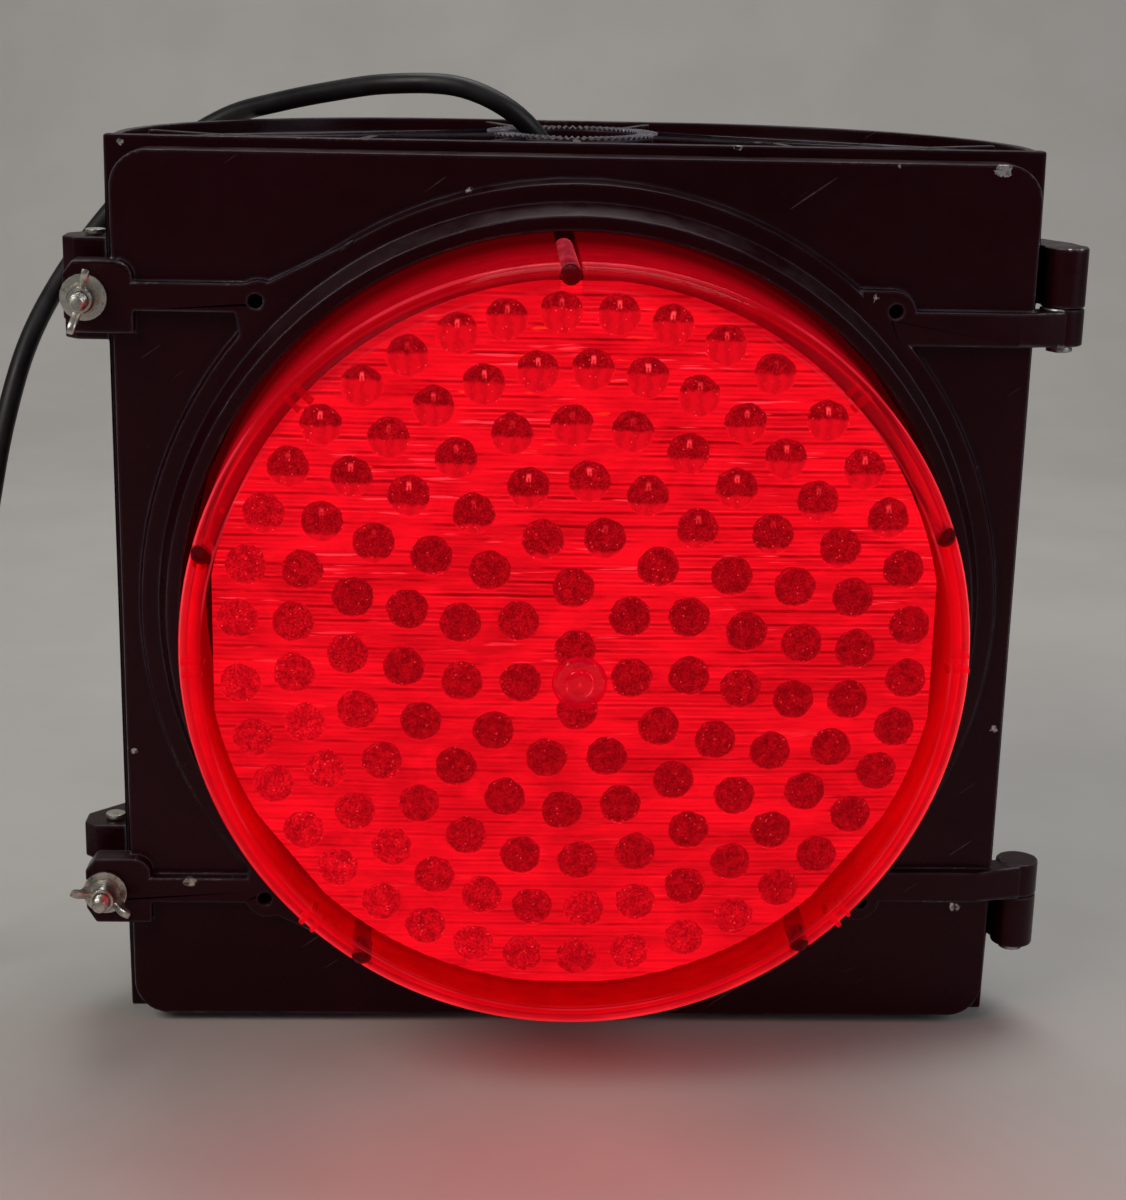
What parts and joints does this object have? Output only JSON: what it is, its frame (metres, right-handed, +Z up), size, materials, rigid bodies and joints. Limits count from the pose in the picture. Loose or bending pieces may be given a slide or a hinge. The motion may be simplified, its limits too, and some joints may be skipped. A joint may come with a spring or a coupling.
{
  "type": "traffic signal head",
  "caption": "Single-section traffic signal head: square die-cast housing, hinged door with swing-bolt latches, round red LED lens and a mains lead.",
  "frame": {"origin": "middle of the footprint of the housing and lens, on the surface the head stands on", "axes": "+Z up, the lens faces -Y, +X towards the hinges"},
  "size_m": [0.5887, 0.2385, 0.3774],
  "materials": {
    "black_paint": "semi-gloss black enamel over cast aluminium, worn to bright metal on edges",
    "zinc": "zinc plated",
    "steel": "plain steel",
    "brass": "brass",
    "rubber": "matt black",
    "red_lens": "transparent red polycarbonate, lit",
    "red_optic": "red moulded lenslets and flutes",
    "circuit_board": "green solder mask",
    "black_plastic": "moulded",
    "phenolic": "dark brown phenolic",
    "cord_jacket": "black rubber jacket",
    "white_wire": "pvc",
    "yellow_tape": "polyester tape",
    "green_wire": "pvc"
  },
  "bodies": {
    "housing": {"housing": "black_paint", "coil_tie": "rubber", "latch_pin_upper": "zinc", "latch_pin_lower": "zinc", "hinge_pin_upper": "steel", "hinge_pin_lower": "steel", "terminal_block": "phenolic", "terminal_block_screw_1": "zinc", "terminal_block_screw_2": "zinc", "cable_clamp": "zinc", "cable_clamp_screw": "zinc", "earth_screw": "zinc", "terminal_screw_1": "brass", "terminal_screw_2": "brass", "terminal_screw_3": "brass", "terminal_screw_4": "brass", "terminal_screw_5": "brass", "terminal_screw_6": "brass", "plug_blade_line": "brass", "plug_blade_neutral": "brass", "plug_earth_pin": "brass", "cord_inner_end": "cord_jacket", "module_lead_tail": "cord_jacket", "supply_cord": "cord_jacket", "supply_cord_coil": "cord_jacket", "supply_cord_tail": "cord_jacket", "plug_body": "cord_jacket", "wire_line": "white_wire", "wire_neutral": "yellow_tape", "wire_earth": "green_wire"},
    "door": {"door": "black_paint", "door_gasket": "rubber", "lens_gasket": "rubber", "outer_lens": "red_lens", "inner_optic": "red_optic", "led_board": "circuit_board", "module_shell": "black_plastic", "driver_board": "circuit_board", "driver_transformer": "yellow_tape", "driver_capacitor": "black_plastic", "module_lead": "cord_jacket", "module_clip_1": "zinc", "module_clip_2": "zinc", "module_clip_3": "zinc", "module_clip_4": "zinc", "module_clip_screw_1": "zinc", "module_clip_screw_2": "zinc", "module_clip_screw_3": "zinc", "module_clip_screw_4": "zinc", "module_screw_1": "zinc", "module_screw_2": "zinc", "module_screw_3": "zinc", "module_screw_4": "zinc", "module_screw_5": "zinc"},
    "swing_bolt_upper": {"swing_bolt_upper": "zinc"},
    "washer_upper": {"washer_upper": "zinc"},
    "wing_nut_upper": {"wing_nut_upper": "zinc"},
    "swing_bolt_lower": {"swing_bolt_lower": "zinc"},
    "washer_lower": {"washer_lower": "zinc"},
    "wing_nut_lower": {"wing_nut_lower": "zinc"}
  },
  "joints": [
    {"name": "door_hinge", "type": "hinge", "parent": "housing", "child": "door", "pos_m": [0.187, -0.015, 0.177], "axis": [0, 0, 1], "range_deg": [0, 110]},
    {"name": "latch_swing_upper", "type": "hinge", "parent": "housing", "child": "swing_bolt_upper", "pos_m": [-0.1835, 0, 0.298], "axis": [0, 0, 1], "range_deg": [-95, 0]},
    {"name": "washer_travel_upper", "type": "slide", "parent": "swing_bolt_upper", "child": "washer_upper", "axis": [0, -1, 0], "range_m": [0, 0.0052]},
    {"name": "wing_nut_spin_upper", "type": "hinge", "parent": "washer_upper", "child": "wing_nut_upper", "pos_m": [-0.1835, -0.036, 0.298], "axis": [0, -1, 0], "range_deg": [0, 1440]},
    {"name": "latch_swing_lower", "type": "hinge", "parent": "housing", "child": "swing_bolt_lower", "pos_m": [-0.1835, 0, 0.06], "axis": [0, 0, 1], "range_deg": [-95, 0]},
    {"name": "washer_travel_lower", "type": "slide", "parent": "swing_bolt_lower", "child": "washer_lower", "axis": [0, -1, 0], "range_m": [0, 0.0052]},
    {"name": "wing_nut_spin_lower", "type": "hinge", "parent": "washer_lower", "child": "wing_nut_lower", "pos_m": [-0.1835, -0.036, 0.06], "axis": [0, -1, 0], "range_deg": [0, 1440]}
  ],
  "couplings": [
    {"joint": "washer_travel_upper", "follows": "wing_nut_spin_upper", "m_per_rad": 0.00020213},
    {"joint": "washer_travel_lower", "follows": "wing_nut_spin_lower", "m_per_rad": 0.00020213}
  ]
}
